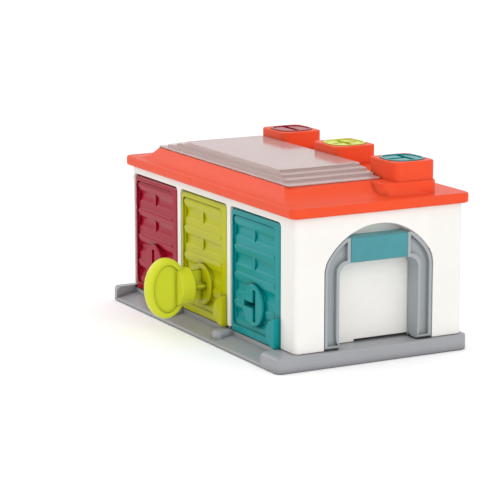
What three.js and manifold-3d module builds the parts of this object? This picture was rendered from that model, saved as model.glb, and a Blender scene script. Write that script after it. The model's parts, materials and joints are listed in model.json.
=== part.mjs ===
import * as THREE from 'three';
import { mergeVertices } from 'three/addons/utils/BufferGeometryUtils.js';
import Module from 'manifold-3d';

// Toy garage: three bays behind keyed, top-hung doors, an orange roof with a stepped skylight and
// three towers that hold keys, and a bail handle folded into the end wall.
// Millimetres. X runs along the door front, the doors face -Y, Z is up. The origin is on the ground
// at the centre of the walls' footprint.

const wasm = await Module();
wasm.setup();

// Fits
const seatGap = 0.3; // between pieces that rest on, or fit into, each other
const overrun = 3; // how far a cut runs past the face that it opens
const bond = 0.6; // how deep joined bodies run into each other

// Smoothness of round shapes
const cornerSteps = 2;
const archSteps = 5;
const roundSteps = 32;
const pinSteps = 8;
const bowSteps = 16;

// Doors and their openings
const doorWidth = 70.6;
const doorHeight = 85.8;
const doorThickness = 4.2;
const doorBarrelRadius = 3.6;
const doorInset = 0.2; // from the wall's face back to the door's frame
const doorSideGap = 0.5;
const doorFloorGap = 0.8;
const doorCornerRadius = 4.3;
const doorFootRadius = 1.2;
const doorEdge = 1.9; // rounding of the leaf's and the barrel's ends
const doorwayRadius = 3.2;
const leftStile = 3;
const rightStile = 8;
const bottomRail = 4.5;
const topRail = 4.2;
const fieldRadius = 3;
const rowCount = 4;
const plankSink = 0.4; // from the frame's face to the planks'
const plankRadius = 4;
const plankRoll = 3.5; // radius of a plank's rolled upper edge
const plankRollHeight = 2.2;
const grooveWidth = 1.5;
const grooveDepth = 1;
const troughDepth = 2.4; // of the two troughs in each plank, at their middle
const troughHeight = 11.2;
const troughFoot = 2.5; // from the row's foot up to a trough
const troughMargin = 1.2;
const troughRibHalf = 1.5;
const troughRibOffset = -4.7; // from the bay's middle to the rib between the troughs
const tabWidth = 13.5;
const tabHeight = 21.3;
const tabWaistShare = 0.38; // of its height, where the tab is widest
const tabProud = 4.6;
const tabEdge = 1.3;

// Locks, a little left of the door's middle, near its bottom
const lockHeight = 33;
const lockOffset = -2.4;
const lockDiscRadius = 14.7;
const lockDiscProud = 1.5;
const lockDiscThickness = 2.1;
const lockEdge = 1;
const lockBarrelRadius = 12.8;
const lockBossWall = 1.3;
const lockRunningGap = 0.4;
const lockRecess = 0.6;
const latchThickness = 2.2;
const latchReach = 24;
const latchTongueHalf = 4.5;
const latchClearance = 0.6;
const latchScrewOffset = 7.4;
const latchScrewRadius = 1;
const latchScrewHeadRadius = 2.1;
const latchScrewHeadHeight = 1.4;
const latchScrewLength = 5.5;

// Key profiles
const bladeReach = 10.6;
const crossReach = 9;
const bladeThickness = 3.2;
const teeOffset = 3.2;
const keyholeGap = 0.4;

// The key
const keyShaftLength = 24;
const keyDrawnOut = 9.7; // from the lock's face to the key's collar as it stands
const collarRadius = 13.2;
const collarLength = 11;
const bowHeight = 43;
const bowLength = 31;
const bowThickness = 9.5;
const bowRounding = 2.6;
const bowRim = 4.2;
const bowDish = 1.5;
const bowOverlap = 8.7;

// Hinge pins
const hingePinRadius = 1.5;
const hingePinGrip = 1.9;
const hingeEarRadius = 3.6;

// Walls
const wallDepth = 130;
const wallThickness = 2.5;
const wallCornerRadius = 3.5;
const leftPillar = 4.2;
const middlePillar = 4.6;
const lintelGap = 0.7;
const lintelHeight = 5.7;
const partitionThickness = 2.6;
const partitionHeadroom = 4.4;

// Base
const baseHeight = 11;
const bayFloorDrop = 2;
const baseOverhang = 3.5;
const apronDepth = 15.5;
const apronLip = 3;
const apronTop = 6; // where the apron meets the sill under the doors
const sillSetBack = 0.5; // from the walls' face
const kerbRoll = 5; // rounding of the kerbs' front upper edge
const stubEdge = 2.6;
const baseCornerRadius = 5;
const baseEdge = 1.1;
const stubHalfWidth = 5.5;
const stubNoseRadius = 5.2;
const stubReach = 12.5;
const strikeHalf = 9;
const strikeDepth = 2;
const footPocketDepth = 1.8;

// Handle and its recess in the end wall
const handleDepth = 12.7;
const handleHalfWidth = 41.5;
const handleLegWidth = 10.8;
const handleBackGap = 1.4;
const handleFaceInset = 0.2;
const handleFlange = 2.1;
const handleChannelDepth = 3;
const handleCentreY = -1;
const handleInnerRadius = 8;
const handleFootGap = 0.6;
const handleToeRadius = 1.5;
const crossbarHeight = 17;
const lunetteHeight = 8.3;
const recessSideGap = 0.8;
const recessWall = 2.2;
const recessTopMargin = 8.2;
const crownShare = 1.118;
const shoulderShare = 0.473;
const trunnionRadius = 3.5;
const trunnionLength = 3.4;
const trunnionBossRadius = 6;
const trunnionBossLength = 2.4;
const detentRadius = 1.7;
const detentProud = 0.6;
const detentHeight = 44.3;
const detentInset = 3;
const drainHeight = 1.5; // slot at the foot of the recess's back wall
const drainLeft = -12;
const drainRight = 31;
const gripHalfLength = 22.2;
const collarPlate = 2.3;
const coreHeight = 10.6;
const coreDepth = 6.4;
const gripRounding = 1.6;
const innerBraceSpace = 3.3;

// Roof
const eaveThickness = 7;
const eaveOverhang = 4;
const eaveFrontOverhang = 4.5;
const eaveCornerRadius = 6;
const eaveEdge = 1.3;
const rimDepth = 3.8;
const rimThickness = 2;
const rimGap = 0.4;
const roofRise = 9;
const roofShell = 2.5;
const slopeFootEnd = 5.8; // from the wall's face in to the foot of the end slope
const slopeFootFront = -1;
const slopeRunEnd = 19.2;
const slopeRunFront = 9;
const slopeBack = 16.4;
const slopePower = 2;
const slopeSteps = 6;
const slopeRadius = 7;
const plinthProud = 1.8;
const plinthLead = 10.5;
const plinthEdge = 1.2;

// Towers
const towerWidth = 36;
const towerDepth = 32;
const towerHeight = 22;
const towerRadius = 5;
const towerEdge = 0.9;
const towerWall = 2;
const towerSkirt = 4;
const towerSkirtWall = 1.5;
const towerOffset = 28.8; // from a bay's middle
const holderWidth = 28;
const holderDepth = 28;
const holderRadius = 11;
const holderThickness = 3.6;
const holderProud = 0.5;
const holderLedge = 1.6;
const holderRim = 1.6;
const holderDish = 0.5;
const holderLedgeThickness = 2;

// Skylight
const skylightMargin = 1;
const skylightHeight = 6.7;
const skylightRunEnd = 27;
const skylightRunFront = 9;
const skylightRadius = 3;
const skylightWall = 1.6;
const skylightSkirt = 4.5;
const skylightLanding = 6;
const skylightRunShares = [0, 0, 0.31, 0.335, 0.645, 0.67, 0.975, 1];
const skylightRiseShares = [0, 0.12, 0.15, 0.42, 0.45, 0.71, 0.74, 1];

// Screws that hold the walls on the base
const screwRadius = 1.5;
const screwHeadRadius = 3.2;
const screwHeadHeight = 2.4;
const screwLength = 14;
const screwFloor = 6; // base material between a screw's head and the walls
const screwClearance = 0.4;
const postRadius = 4;
const postHeight = 18;
const postTuck = 3; // from a wall's inner face to a post's centre
const postSetBack = 15; // of the front left post, behind the door

// Places that follow from the sizes above
const bayPitch = doorWidth + 2 * doorSideGap + middlePillar;
const openingHalf = doorWidth / 2 + doorSideGap;
const recessDepth = handleDepth + handleBackGap + handleFaceInset;
const rightPillar = recessDepth + recessWall + innerBraceSpace;
const wallLength = leftPillar + 3 * 2 * openingHalf + 2 * middlePillar + rightPillar;
const wallLeft = -wallLength / 2;
const wallRight = wallLength / 2;
const wallFront = -wallDepth / 2;
const wallBack = wallDepth / 2;
const bayX = [0, 1, 2].map((i) => wallLeft + leftPillar + openingHalf + i * bayPitch);
const pillarX = [0, 1].map((i) => (bayX[i] + bayX[i + 1]) / 2);
const bayFloor = baseHeight - bayFloorDrop;
const screwRecess = baseHeight - screwFloor;
const doorBottom = bayFloor + doorFloorGap;
const doorTop = doorBottom + doorHeight;
const openingTop = doorTop + lintelGap;
const roofUnderside = openingTop + lintelHeight;
const wallBottom = baseHeight + seatGap;
const wallTop = roofUnderside - seatGap;
const hingeY = wallFront + doorInset + doorBarrelRadius;
const hingeZ = doorTop - doorBarrelRadius;
const lockZ = lockHeight - hingeZ;
const doorFace = -doorBarrelRadius;
const doorBack = doorFace + doorThickness;
const lockFace = doorFace - lockDiscProud;
const latchFront = doorBack + latchClearance;
const latchBack = latchFront + latchThickness;
const recessFloor = wallRight - recessDepth;
const recessHalf = handleHalfWidth + recessSideGap;
const recessTop = roofUnderside - recessTopMargin;
const handleTop = recessTop - lunetteHeight;
const crossbarBottom = handleTop - crossbarHeight;
const handleFront = wallRight - handleFaceInset;
const handleBack = handleFront - handleDepth;
const footRadius = handleDepth / 2;
const pivotX = handleFront - footRadius;
const footBottom = baseHeight + handleFootGap;
const pivotZ = footBottom + footRadius;
const eaveTop = roofUnderside + eaveThickness;
const roofCrest = eaveTop + roofRise;
const crestHalf = wallRight - slopeFootEnd - slopeRunEnd;
const crestFront = wallFront + slopeFootFront + slopeRunFront;
const slopeBackY = wallBack - slopeBack;
const towerBottom = roofCrest + seatGap;
const towerTop = eaveTop + towerHeight;
const towerBackY = slopeBackY - seatGap;
const towerMidY = towerBackY - towerDepth / 2;
const towerX = bayX.map((x) => x + towerOffset);
const skylightHalf = crestHalf - skylightMargin;
const skylightFront = crestFront + skylightMargin;
const skylightBack = towerBackY - towerDepth - seatGap;
const skylightBottom = roofCrest + seatGap;

const plastic = (color, roughness) => new THREE.MeshStandardMaterial({ color, roughness, metalness: 0 });
const steel = () => new THREE.MeshStandardMaterial({ color: 0xb8bcc0, roughness: 0.35, metalness: 1 });
const colours = {
  red: 0xa8384c,
  lime: 0xbcc43c,
  teal: 0x3c9a9c,
  orange: 0xfb6340,
  white: 0xf8f6f2,
  base: 0xacacb0,
  handle: 0x9aa2a6,
  grip: 0x58a2a8,
  skylight: 0xcdbcbe,
};
const schemes = ['red', 'lime', 'teal'];

// Turns a closed geometry into a solid that can be joined and cut
function solid(geometry) {
  const bare = geometry.clone();
  bare.deleteAttribute('normal');
  bare.deleteAttribute('uv');
  const merged = mergeVertices(bare);
  const vertProperties = merged.getAttribute('position').array;
  const triVerts = Uint32Array.from(merged.getIndex().array);
  return new wasm.Manifold(new wasm.Mesh({ numProp: 3, vertProperties, triVerts }));
}

// Gives a finished solid its name and its material
function piece(name, body, material) {
  const { vertProperties, triVerts } = body.getMesh();
  const geometry = new THREE.BufferGeometry();
  geometry.setAttribute('position', new THREE.BufferAttribute(vertProperties, 3));
  geometry.setIndex(new THREE.BufferAttribute(triVerts, 1));
  geometry.computeVertexNormals();
  const mesh = new THREE.Mesh(geometry, material);
  mesh.name = name;
  return mesh;
}

const union = (bodies) => bodies.reduce((sum, body) => sum.add(body));
const without = (body, cuts) => cuts.reduce((rest, cut) => rest.subtract(cut), body);

// An outline pushed out along Z, with its edges rounded off by the given amount
function prism(outline, depth, edge = 0, steps = cornerSteps) {
  const options = {
    depth: depth - 2 * edge,
    curveSegments: steps,
    bevelEnabled: edge > 0,
    bevelThickness: edge,
    bevelSize: edge,
    bevelOffset: -edge,
    bevelSegments: 2,
  };
  return new THREE.ExtrudeGeometry(outline, options).translate(0, 0, edge);
}

// A plan outline (x, y) raised from one height to another
function raised(outline, from, to, edge = 0) {
  return solid(prism(outline, to - from, edge).translate(0, 0, from));
}

// An outline seen from the front (x, z), running from one y to another
function frontal(outline, from, to, edge = 0, steps = cornerSteps) {
  return solid(prism(outline, to - from, edge, steps).rotateX(Math.PI / 2).translate(0, to, 0));
}

// An outline seen from the end (y, z), running from one x to another
function lengthwise(outline, from, to, edge = 0, steps = cornerSteps) {
  const turn = new THREE.Matrix4().makeBasis(
    new THREE.Vector3(0, 1, 0),
    new THREE.Vector3(0, 0, 1),
    new THREE.Vector3(1, 0, 0),
  );
  return solid(prism(outline, to - from, edge, steps).applyMatrix4(turn).translate(from, 0, 0));
}

function block(x0, x1, y0, y1, z0, z1) {
  const geometry = new THREE.BoxGeometry(x1 - x0, y1 - y0, z1 - z0);
  return solid(geometry.translate((x0 + x1) / 2, (y0 + y1) / 2, (z0 + z1) / 2));
}

// A rectangle with rounded corners; the radii go round from the lower left corner
function roundedRect(x0, x1, y0, y1, radius, upperRadius = radius) {
  const outline = new THREE.Shape();
  const quarter = Math.PI / 2;
  outline.absarc(x0 + radius, y0 + radius, radius, 2 * quarter, 3 * quarter);
  outline.absarc(x1 - radius, y0 + radius, radius, 3 * quarter, 4 * quarter);
  outline.absarc(x1 - upperRadius, y1 - upperRadius, upperRadius, 0, quarter);
  outline.absarc(x0 + upperRadius, y1 - upperRadius, upperRadius, quarter, 2 * quarter);
  return outline;
}

function outlineOf(points) {
  return new THREE.Shape(points.map(([x, y]) => new THREE.Vector2(x, y)));
}

// Round bars along the three axes
function barZ(x, y, radius, from, to, steps = pinSteps) {
  const geometry = new THREE.CylinderGeometry(radius, radius, to - from, steps);
  return solid(geometry.rotateX(Math.PI / 2).translate(x, y, (from + to) / 2));
}

function barY(x, z, radius, from, to, steps = pinSteps) {
  const geometry = new THREE.CylinderGeometry(radius, radius, to - from, steps);
  return solid(geometry.translate(x, (from + to) / 2, z));
}

function barX(y, z, radius, from, to, steps = pinSteps) {
  const geometry = new THREE.CylinderGeometry(radius, radius, to - from, steps);
  return solid(geometry.rotateZ(Math.PI / 2).translate((from + to) / 2, y, z));
}

// A profile of (radius, height) points turned about Y, from the bottom of the axis to its top
function turned(profile, steps = roundSteps) {
  return solid(new THREE.LatheGeometry(profile.map(([r, y]) => new THREE.Vector2(r, y)), steps));
}

// A closed skin through a stack of rounded rectangles, each {x0, x1, y0, y1, z, radius}
function stack(rings) {
  const loops = rings.map((ring) => {
    const outline = roundedRect(ring.x0, ring.x1, ring.y0, ring.y1, ring.radius);
    return outline.getPoints(cornerSteps).slice(0, -1).map((p) => [p.x, p.y, ring.z]);
  });
  const count = loops[0].length;
  const last = loops.length - 1;
  const middle = (ring) => [(ring.x0 + ring.x1) / 2, (ring.y0 + ring.y1) / 2, ring.z];
  const corners = [...loops.flat(), middle(rings[0]), middle(rings[last])];
  const faces = [];
  for (let i = 0; i < count; i += 1) {
    const next = (i + 1) % count;
    for (let k = 0; k < last; k += 1) {
      const a = k * count + i;
      const b = k * count + next;
      faces.push(a, b, b + count, a, b + count, a + count);
    }
    faces.push(loops.length * count, next, i);
    faces.push(loops.length * count + 1, last * count + i, last * count + next);
  }
  const geometry = new THREE.BufferGeometry();
  geometry.setAttribute('position', new THREE.Float32BufferAttribute(corners.flat(), 3));
  geometry.setIndex(faces);
  return solid(geometry);
}

// The rectangles [x0, x1, z0, z1] that make up each scheme's key profile, about the lock's axis
function profileOf(scheme) {
  const half = bladeThickness / 2;
  const upright = [-half, half, -bladeReach, bladeReach];
  if (scheme === 'red') return [upright];
  if (scheme === 'lime') return [upright, [-crossReach, crossReach, -half, half]];
  return [
    [teeOffset - half, teeOffset + half, -bladeReach, bladeReach],
    [-bladeReach, teeOffset, -half, half],
  ];
}

// The keyhole of a scheme, cut through from one y to another at the given height
function keyhole(scheme, z, from, to) {
  const g = keyholeGap;
  return union(profileOf(scheme).map(([x0, x1, z0, z1]) => (
    block(lockOffset + x0 - g, lockOffset + x1 + g, from, to, z + z0 - g, z + z1 + g)
  )));
}

// A pan head screw with its head up the Y axis, bearing at y = 0
function screw(radius, length, headRadius, headHeight) {
  const tip = radius;
  return turned([
    [0, -length],
    [radius / 2, -length + tip / 2],
    [radius, -length + tip],
    [radius, 0],
    [headRadius, 0],
    [headRadius, headHeight / 2],
    [headRadius / 2, headHeight],
    [0, headHeight],
  ], pinSteps);
}

// Base: a tray with bay floors, an apron that ramps down in front of the doors, and kerbs
const posts = [
  [wallLeft + wallThickness + postTuck, wallFront + postSetBack],
  [wallLeft + wallThickness + postTuck, wallBack - wallThickness - postTuck],
  [bayX[1], wallBack - wallThickness - postTuck],
  [bayX[2], wallBack - wallThickness - postTuck],
  [wallRight - wallThickness - postTuck, wallFront + wallThickness + postTuck],
  [wallRight - wallThickness - postTuck, wallBack - wallThickness - postTuck],
];
const baseLeft = wallLeft - baseOverhang;
const baseRight = wallRight + baseOverhang;
const apronFront = wallFront - apronDepth;
const stepFront = wallFront + sillSetBack;
const bayEdges = [
  wallLeft + wallThickness + seatGap,
  ...pillarX.flatMap((x) => [x - partitionThickness / 2 - seatGap, x + partitionThickness / 2 + seatGap]),
  bayX[2] + openingHalf + seatGap,
];

function stub(x) {
  const front = wallFront - stubReach;
  const back = wallFront + wallThickness + stubNoseRadius;
  const top = doorBottom - seatGap;
  const outline = roundedRect(x - stubHalfWidth, x + stubHalfWidth, front, back, stubNoseRadius);
  return raised(outline, baseEdge / 2, top, stubEdge);
}

function baseTray() {
  const plan = roundedRect(baseLeft, baseRight, apronFront, wallBack + baseOverhang, baseCornerRadius);
  const overApron = outlineOf([
    [apronFront - overrun, apronLip - baseEdge],
    [apronFront, apronLip - baseEdge],
    [apronFront + baseEdge, apronLip],
    [stepFront, apronTop],
    [stepFront, baseHeight + overrun],
    [apronFront - overrun, baseHeight + overrun],
  ]);
  const bays = [0, 1, 2].map((i) => {
    const back = wallBack - wallThickness - seatGap;
    return block(bayEdges[2 * i], bayEdges[2 * i + 1], stepFront - bond, back, bayFloor, baseHeight + overrun);
  });
  const strikes = bayX.map((x) => block(
    x + lockOffset - strikeHalf,
    x + lockOffset + strikeHalf,
    hingeY + latchFront - latchClearance,
    hingeY + latchBack + latchClearance,
    bayFloor - strikeDepth,
    bayFloor + overrun,
  ));
  const footPockets = [-1, 1].map((side) => {
    const middle = handleCentreY + side * (handleHalfWidth - handleLegWidth / 2);
    const half = handleLegWidth / 2 + recessSideGap;
    const top = baseHeight + overrun;
    return block(handleBack, handleFront, middle - half, middle + half, baseHeight - footPocketDepth, top);
  });
  const screwHoles = posts.flatMap(([x, y]) => [
    barZ(x, y, screwRadius + seatGap, -overrun, baseHeight + overrun),
    barZ(x, y, screwHeadRadius + screwClearance, -overrun, screwRecess),
  ]);
  const apron = lengthwise(overApron, bayX[0] - openingHalf, bayX[2] + openingHalf);
  const overKerbs = new THREE.Shape();
  overKerbs.moveTo(apronFront - overrun, baseHeight - kerbRoll);
  overKerbs.absarc(apronFront + kerbRoll - bond, baseHeight - kerbRoll, kerbRoll, Math.PI, Math.PI / 2, true);
  overKerbs.lineTo(apronFront + kerbRoll, baseHeight + overrun);
  overKerbs.lineTo(apronFront - overrun, baseHeight + overrun);
  const kerbs = lengthwise(overKerbs, baseLeft - overrun, baseRight + overrun);
  const tray = without(raised(plan, 0, baseHeight, baseEdge), [apron, kerbs, ...bays]);
  return without(union([tray, ...pillarX.map(stub)]), [...strikes, ...footPockets, ...screwHoles]);
}

// The arched recess: a crown arc on two tighter shoulder arcs and straight jambs, as (y, z)
function archOutline(half, foot, top) {
  const shoulder = half * shoulderShare;
  const crown = half * crownShare;
  const shoulderY = half - shoulder;
  const crownZ = top - crown;
  const shoulderZ = crownZ + Math.sqrt((crown - shoulder) ** 2 - shoulderY ** 2);
  const turn = Math.atan2(shoulderZ - crownZ, shoulderY);
  const outline = new THREE.Shape();
  outline.moveTo(handleCentreY - half, foot);
  outline.lineTo(handleCentreY + half, foot);
  outline.absarc(handleCentreY + shoulderY, shoulderZ, shoulder, 0, turn);
  outline.absarc(handleCentreY, crownZ, crown, turn, Math.PI / 2);
  outline.absarc(handleCentreY, crownZ, crown, Math.PI / 2, Math.PI - turn);
  outline.absarc(handleCentreY - shoulderY, shoulderZ, shoulder, Math.PI - turn, Math.PI);
  return outline;
}

// Walls: one moulding with three doorways, the handle's recess, hinge ears and screw posts
function wallHousing() {
  const shell = raised(roundedRect(wallLeft, wallRight, wallFront, wallBack, wallCornerRadius), wallBottom, wallTop);
  const t = wallThickness;
  const inside = roundedRect(wallLeft + t, wallRight - t, wallFront + t, wallBack - t, wallCornerRadius - t / 2);
  const hollow = raised(inside, wallBottom - overrun, wallTop + overrun);
  const tub = lengthwise(
    archOutline(recessHalf + recessWall, wallBottom, recessTop + recessWall),
    recessFloor - recessWall,
    wallRight - bond,
    0,
    archSteps,
  );
  const ears = [
    barX(hingeY, hingeZ, hingeEarRadius, wallLeft + bond, wallLeft + leftPillar, roundSteps / 2),
    barX(hingeY, hingeZ, hingeEarRadius, bayX[2] + openingHalf + seatGap, recessFloor - recessWall + bond, roundSteps / 2),
  ];
  const postBodies = posts.map(([x, y]) => (
    barZ(x, y, postRadius, wallBottom + seatGap, wallBottom + postHeight, roundSteps / 2)
  ));
  const sides = [-1, 1];
  const bossOuter = recessHalf + recessWall + trunnionBossLength;
  const bosses = sides.map((side) => {
    const ends = [side * (recessHalf + bond), side * bossOuter].sort((a, b) => a - b);
    return barY(pivotX, pivotZ, trunnionBossRadius, handleCentreY + ends[0], handleCentreY + ends[1], roundSteps / 2);
  });
  const doorways = bayX.map((x) => {
    const outline = roundedRect(x - openingHalf, x + openingHalf, 0, openingTop, bond, doorwayRadius);
    return frontal(outline, wallFront - overrun, wallFront + t + bond / 2);
  });
  const recess = lengthwise(archOutline(recessHalf, 0, recessTop), recessFloor, wallRight + overrun, 0, archSteps);
  const drain = block(
    recessFloor - recessWall - overrun,
    recessFloor + overrun,
    drainLeft,
    drainRight,
    0,
    wallBottom + drainHeight,
  );
  const hingeBore = barX(
    hingeY,
    hingeZ,
    hingePinRadius + seatGap,
    wallLeft + t,
    recessFloor - recessWall - seatGap,
  );
  const screwHoles = posts.map(([x, y]) => (
    barZ(x, y, screwRadius + seatGap, wallBottom - overrun, wallBottom + screwLength - screwRecess)
  ));
  const pivotHole = barY(
    pivotX,
    pivotZ,
    trunnionRadius + seatGap,
    handleCentreY - bossOuter - overrun,
    handleCentreY + bossOuter + overrun,
    roundSteps / 2,
  );
  const detents = sides.map((side) => {
    const y = handleCentreY + side * (recessHalf + detentRadius - detentProud);
    const ball = new THREE.SphereGeometry(detentRadius, pinSteps, pinSteps / 2);
    return solid(ball.translate(wallRight - detentInset, y, detentHeight));
  });
  const joined = union([without(shell, [hollow]), tub, ...bosses, ...postBodies]);
  const opened = without(joined, [recess, drain, ...doorways, pivotHole, ...screwHoles]);
  return without(union([opened, ...ears, ...detents]), [hingeBore]);
}

// Partitions between the bays, each with a boss for the hinge pins on both sides
function partition(x) {
  const front = wallFront + wallThickness + seatGap;
  const back = wallBack - wallThickness - seatGap;
  const half = partitionThickness / 2;
  const plate = block(x - half, x + half, front, back, wallBottom, wallTop - partitionHeadroom);
  const boss = barX(
    hingeY,
    hingeZ,
    hingeEarRadius,
    x - middlePillar / 2,
    x + middlePillar / 2,
    roundSteps / 2,
  );
  const trimmed = boss.intersect(block(
    x - middlePillar,
    x + middlePillar,
    front,
    front + 2 * hingeEarRadius,
    hingeZ - hingeEarRadius,
    hingeZ + hingeEarRadius,
  ));
  const hole = barX(hingeY, hingeZ, hingePinRadius + seatGap, x - middlePillar, x + middlePillar);
  return without(union([plate, trimmed]), [hole]);
}

// Roof: eaves and a body that flares up to the skylight, open under the skylight and the towers
function roofBody() {
  const slopes = [];
  for (let i = 0; i <= slopeSteps; i += 1) {
    const t = i / slopeSteps;
    slopes.push({
      x0: -crestHalf - slopeRunEnd * (1 - t),
      x1: crestHalf + slopeRunEnd * (1 - t),
      y0: crestFront - slopeRunFront * (1 - t),
      y1: slopeBackY,
      z: eaveTop + roofRise * t ** slopePower,
      radius: slopeRadius,
    });
  }
  return stack([{ ...slopes[0], z: eaveTop - bond }, ...slopes]);
}

function roof() {
  const eaves = raised(
    roundedRect(
      wallLeft - eaveOverhang,
      wallRight + eaveOverhang,
      wallFront - eaveFrontOverhang,
      wallBack + eaveOverhang,
      eaveCornerRadius,
    ),
    roofUnderside,
    eaveTop,
    eaveEdge,
  );
  const rimInset = wallThickness + rimGap;
  const rimOutline = (inset) => roundedRect(
    wallLeft + inset,
    wallRight - inset,
    wallFront + inset,
    wallBack - inset,
    wallCornerRadius,
  );
  const rim = raised(rimOutline(rimInset), roofUnderside - rimDepth, roofUnderside + bond);
  const underEaves = raised(
    rimOutline(rimInset + rimThickness),
    roofUnderside - rimDepth - overrun,
    eaveTop - roofShell,
  );
  const teal = towerX[2];
  const plinth = raised(
    roundedRect(
      teal - towerWidth / 2,
      teal + towerWidth / 2 + plinthProud,
      towerMidY - towerDepth / 2 - plinthLead,
      slopeBackY,
      towerRadius,
    ),
    eaveTop - bond - plinthEdge,
    roofCrest,
    plinthEdge,
  );
  const underCrest = block(
    -crestHalf + skylightLanding,
    crestHalf - skylightLanding,
    skylightFront + skylightLanding,
    slopeBackY - roofShell,
    roofUnderside,
    roofCrest - roofShell,
  );
  const opening = block(
    -crestHalf + skylightLanding,
    crestHalf - skylightLanding,
    skylightFront + skylightLanding,
    skylightBack - skylightLanding,
    roofUnderside,
    roofCrest + overrun,
  );
  const towerHoles = towerX.map((x) => towerWell(x, 0, roofUnderside, roofCrest + overrun));
  const shell = without(union([eaves, rim]), [underEaves]);
  return without(union([shell, roofBody(), plinth]), [underCrest, opening, ...towerHoles]);
}

// The upright well in a tower and in the roof below it, narrowed by an inset
function towerWell(x, inset, from, to) {
  const acrossX = towerWidth / 2 - towerWall - inset;
  const acrossY = towerDepth / 2 - towerWall - inset;
  return block(x - acrossX, x + acrossX, towerMidY - acrossY, towerMidY + acrossY, from, to);
}

// Tower: a hollow block plugged into the roof by a skirt, with a pocket for its tile in its top
function keyTower(x) {
  const front = towerMidY - towerDepth / 2;
  const outline = roundedRect(x - towerWidth / 2, x + towerWidth / 2, front, towerBackY, towerRadius);
  const skirt = towerWell(x, seatGap, towerBottom - towerSkirt, towerBottom + towerEdge + bond);
  const pocketFloor = towerTop + holderProud - holderThickness - seatGap;
  return without(union([raised(outline, towerBottom, towerTop, towerEdge), skirt]), [
    towerWell(x, seatGap + towerSkirtWall, roofUnderside, pocketFloor - holderLedgeThickness),
    raised(holderOutline(x, -holderLedge), roofCrest, pocketFloor + bond),
    raised(holderOutline(x, seatGap), pocketFloor, towerTop + overrun),
  ]);
}

// Key holders: tiles let into the tower tops, each with its key's profile cut through it
function holderOutline(x, grow) {
  return roundedRect(
    x - holderWidth / 2 - grow,
    x + holderWidth / 2 + grow,
    towerMidY - holderDepth / 2 - grow,
    towerMidY + holderDepth / 2 + grow,
    holderRadius + grow,
  );
}

function keyHolder(scheme, x) {
  const top = towerTop + holderProud;
  const tile = raised(holderOutline(x, 0), top - holderThickness, top);
  const dish = raised(holderOutline(x, -holderRim), top - holderDish, top + overrun);
  const g = keyholeGap;
  const slots = profileOf(scheme).map(([across0, across1, along0, along1]) => block(
    x + along0 - g,
    x + along1 + g,
    towerMidY + across0 - g,
    towerMidY + across1 + g,
    top - holderThickness - overrun,
    top + overrun,
  ));
  return without(tile, [dish, ...slots]);
}

// Skylight: a clear shell in three steps, with a skirt that drops through the roof's opening
function skylightStack(inset) {
  return skylightRunShares.map((run, i) => ({
    x0: -skylightHalf + skylightRunEnd * run + inset,
    x1: skylightHalf - skylightRunEnd * run - inset,
    y0: skylightFront + skylightRunFront * run + inset,
    y1: skylightBack - inset,
    z: skylightBottom + skylightHeight * skylightRiseShares[i] - inset,
    radius: skylightRadius,
  }));
}

function skylight() {
  const shell = stack(skylightStack(0));
  const inner = skylightStack(skylightWall);
  const hollow = stack([{ ...inner[0], z: skylightBottom - overrun }, ...inner.slice(1)]);
  const skirtOutline = (inset) => roundedRect(
    -crestHalf + skylightLanding + inset,
    crestHalf - skylightLanding - inset,
    skylightFront + skylightLanding + inset,
    skylightBack - skylightLanding - inset,
    skylightRadius,
  );
  const skirtTop = skylightBottom + bond;
  const skirt = raised(skirtOutline(seatGap), skylightBottom - skylightSkirt, skirtTop);
  const bore = raised(skirtOutline(seatGap + skylightWall), skylightBottom - skylightSkirt - overrun, skirtTop + overrun);
  return union([without(shell, [hollow]), without(skirt, [bore])]);
}

// Doors, drawn about their hinge axis: x from the bay's middle, y and z from the pin
function doorBlank(half, bottom, top) {
  const side = new THREE.Shape();
  side.moveTo(doorFace, bottom);
  side.lineTo(doorBack, bottom);
  side.lineTo(doorBack, -Math.sqrt(doorBarrelRadius ** 2 - doorBack ** 2));
  side.absarc(0, 0, doorBarrelRadius, Math.atan2(side.currentPoint.y, doorBack), Math.PI);
  const leaf = lengthwise(side, -half, half, doorEdge, archSteps);
  const silhouette = roundedRect(-half, half, bottom, top, doorFootRadius, doorCornerRadius);
  return leaf.intersect(frontal(silhouette, -2 * doorThickness, 2 * doorThickness));
}

// A plank of the door's face, with rounded corners, a crisp lower edge and a rolled upper one
function plank(left, right, bottom, top, face) {
  const outline = roundedRect(left, right, bottom, top, plankRadius);
  const side = new THREE.Shape();
  side.moveTo(face, bottom - bond);
  side.absarc(face + plankRoll, top - plankRollHeight, plankRoll, Math.PI, Math.PI / 2, true);
  side.lineTo(face + plankRoll, bottom - bond);
  return frontal(outline, face - bond, face + grooveDepth + 2 * bond)
    .intersect(lengthwise(side, left - bond, right + bond));
}

// The two troughs of a plank, sunk by a round bed that runs along it on both sides of a rib
function plankTroughs(left, right, foot, face) {
  const bedRadius = ((troughHeight / 2) ** 2 + troughDepth ** 2) / (2 * troughDepth);
  const bedY = face + troughDepth - bedRadius;
  const middle = foot + troughHeight / 2;
  return [
    barX(bedY, middle, bedRadius, left, troughRibOffset - troughRibHalf, roundSteps),
    barX(bedY, middle, bedRadius, troughRibOffset + troughRibHalf, right, roundSteps),
  ];
}

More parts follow.
